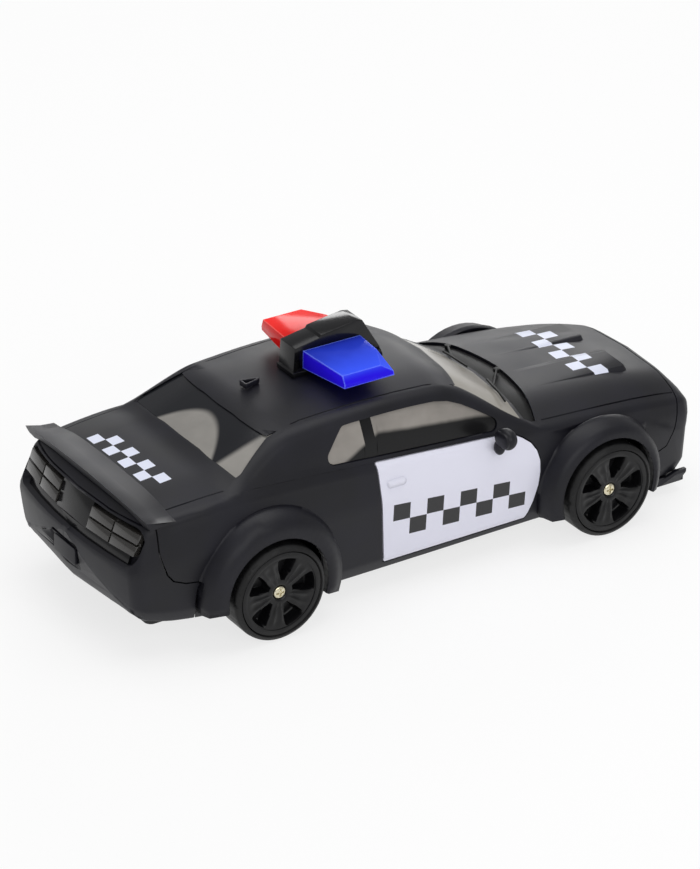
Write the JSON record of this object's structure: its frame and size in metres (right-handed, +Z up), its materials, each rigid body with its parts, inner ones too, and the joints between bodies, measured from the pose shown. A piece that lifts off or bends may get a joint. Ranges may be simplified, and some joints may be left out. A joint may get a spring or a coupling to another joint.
{
  "type": "toy police car",
  "caption": "Radio-controlled toy police coupe with a roof light bar, smoked windows, a screwed-on body, steered front wheels and a geared, motor-driven rear axle.",
  "frame": {"origin": "on the ground under the middle of the car's box", "axes": "+X to the nose, +Y to the car's left, +Z up"},
  "size_m": [0.2798, 0.119, 0.0998],
  "materials": {
    "body_black": "satin moulded ABS",
    "gloss_black": "gloss",
    "wiper_black": "matte",
    "clear_lamp": "clear polycarbonate",
    "smoke_lens": "smoked polycarbonate",
    "smoke_pane": "smoked gloss sheet",
    "door_white": "satin gloss",
    "lens_red": "clear red polycarbonate",
    "lens_blue": "clear blue polycarbonate",
    "board_green": "solder mask",
    "rim_black": "satin",
    "tyre_rubber": "smooth rubber",
    "gilt_screw": "yellow zinc on steel",
    "steel": "bright drawn steel",
    "nylon": "natural nylon",
    "brass": "machined",
    "chassis_black": "moulded, fine grain",
    "servo_blue": "moulded",
    "wrap_blue": "shrink wrap",
    "switch_red": "moulded"
  },
  "bodies": {
    "car": {"body_shell": "body_black", "front_bumper": "body_black", "rear_bumper": "body_black", "boot_lip": "body_black", "mirror_left": "body_black", "mirror_right": "body_black", "grille": "gloss_black", "number_plate": "gloss_black", "tail_panel": "gloss_black", "cowl": "gloss_black", "lightbar_bridge": "gloss_black", "aerial": "gloss_black", "wiper_left": "wiper_black", "wiper_right": "wiper_black", "headlamp_left": "clear_lamp", "headlamp_right": "clear_lamp", "tail_lens_left": "smoke_lens", "tail_lens_right": "smoke_lens", "windscreen": "smoke_pane", "rear_window": "smoke_pane", "side_window_left": "smoke_pane", "side_window_right": "smoke_pane", "door_left": "door_white", "door_right": "door_white", "lens_red": "lens_red", "lens_blue": "lens_blue", "lamp_board": "board_green", "circuit_board": "board_green", "idler_pin": "steel", "motor": "steel", "small_screws": "steel", "axle_bushes": "brass", "chassis": "chassis_black", "gear_case": "chassis_black", "gear_lid": "chassis_black", "kingpin_bar": "chassis_black", "battery_cover": "chassis_black", "switch_body": "chassis_black", "servo": "servo_blue", "battery_pack": "wrap_blue"},
    "rear_axle": {"rear_axle": "steel", "axle_gear": "nylon", "rim_rear_left": "rim_black", "rim_rear_right": "rim_black", "tyre_rear_left": "tyre_rubber", "tyre_rear_right": "tyre_rubber", "screws_rear": "gilt_screw"},
    "idler": {"idler_gear": "nylon"},
    "motor_pinion": {"pinion": "brass"},
    "knuckle_left": {"knuckle_left": "chassis_black", "screw_front_left": "gilt_screw"},
    "knuckle_right": {"knuckle_right": "chassis_black", "screw_front_right": "gilt_screw"},
    "servo_horn": {"servo_horn": "nylon"},
    "tie_rod": {"tie_rod": "nylon"},
    "wheel_front_left": {"rim_front_left": "rim_black", "tyre_front_left": "tyre_rubber"},
    "wheel_front_right": {"rim_front_right": "rim_black", "tyre_front_right": "tyre_rubber"},
    "power_switch": {"switch_knob": "switch_red"}
  },
  "joints": [
    {"name": "rear_axle_spin", "type": "hinge", "parent": "car", "child": "rear_axle", "pos_m": [-0.076, 0, 0.0207], "axis": [0, 1, 0], "continuous": true},
    {"name": "idler_spin", "type": "hinge", "parent": "car", "child": "idler", "pos_m": [-0.06495, 0.0129, 0.0207], "axis": [0, 1, 0], "continuous": true},
    {"name": "pinion_spin", "type": "hinge", "parent": "car", "child": "motor_pinion", "pos_m": [-0.0549, 0.0153, 0.0207], "axis": [0, 1, 0], "continuous": true},
    {"name": "steer_left", "type": "hinge", "parent": "car", "child": "knuckle_left", "pos_m": [0.084, 0.044, 0.0207], "axis": [0, 0, 1], "range_deg": [-18, 18], "stiffness_Nm_per_rad": 0.05},
    {"name": "steer_right", "type": "hinge", "parent": "car", "child": "knuckle_right", "pos_m": [0.084, -0.044, 0.0207], "axis": [0, 0, 1], "range_deg": [-18, 18]},
    {"name": "servo_turn", "type": "hinge", "parent": "car", "child": "servo_horn", "pos_m": [0.084, 0, 0.0229], "axis": [0, 0, 1], "range_deg": [-18, 18]},
    {"name": "tie_rod_slide", "type": "slide", "parent": "car", "child": "tie_rod", "axis": [0, 1, 0], "range_m": [-0.0031, 0.0031]},
    {"name": "front_left_spin", "type": "hinge", "parent": "knuckle_left", "child": "wheel_front_left", "pos_m": [0.084, 0.051, 0.0207], "axis": [0, 1, 0], "continuous": true},
    {"name": "front_right_spin", "type": "hinge", "parent": "knuckle_right", "child": "wheel_front_right", "pos_m": [0.084, -0.051, 0.0207], "axis": [0, 1, 0], "continuous": true},
    {"name": "power_slide", "type": "slide", "parent": "car", "child": "power_switch", "axis": [1, 0, 0], "range_m": [0, 0.004]}
  ],
  "couplings": [
    {"joint": "idler_spin", "follows": "rear_axle_spin", "ratio": -2.6667},
    {"joint": "pinion_spin", "follows": "rear_axle_spin", "ratio": 8},
    {"joint": "steer_right", "follows": "steer_left", "ratio": 1},
    {"joint": "servo_turn", "follows": "steer_left", "ratio": 1},
    {"joint": "tie_rod_slide", "follows": "steer_left", "m_per_rad": -0.0098363}
  ]
}
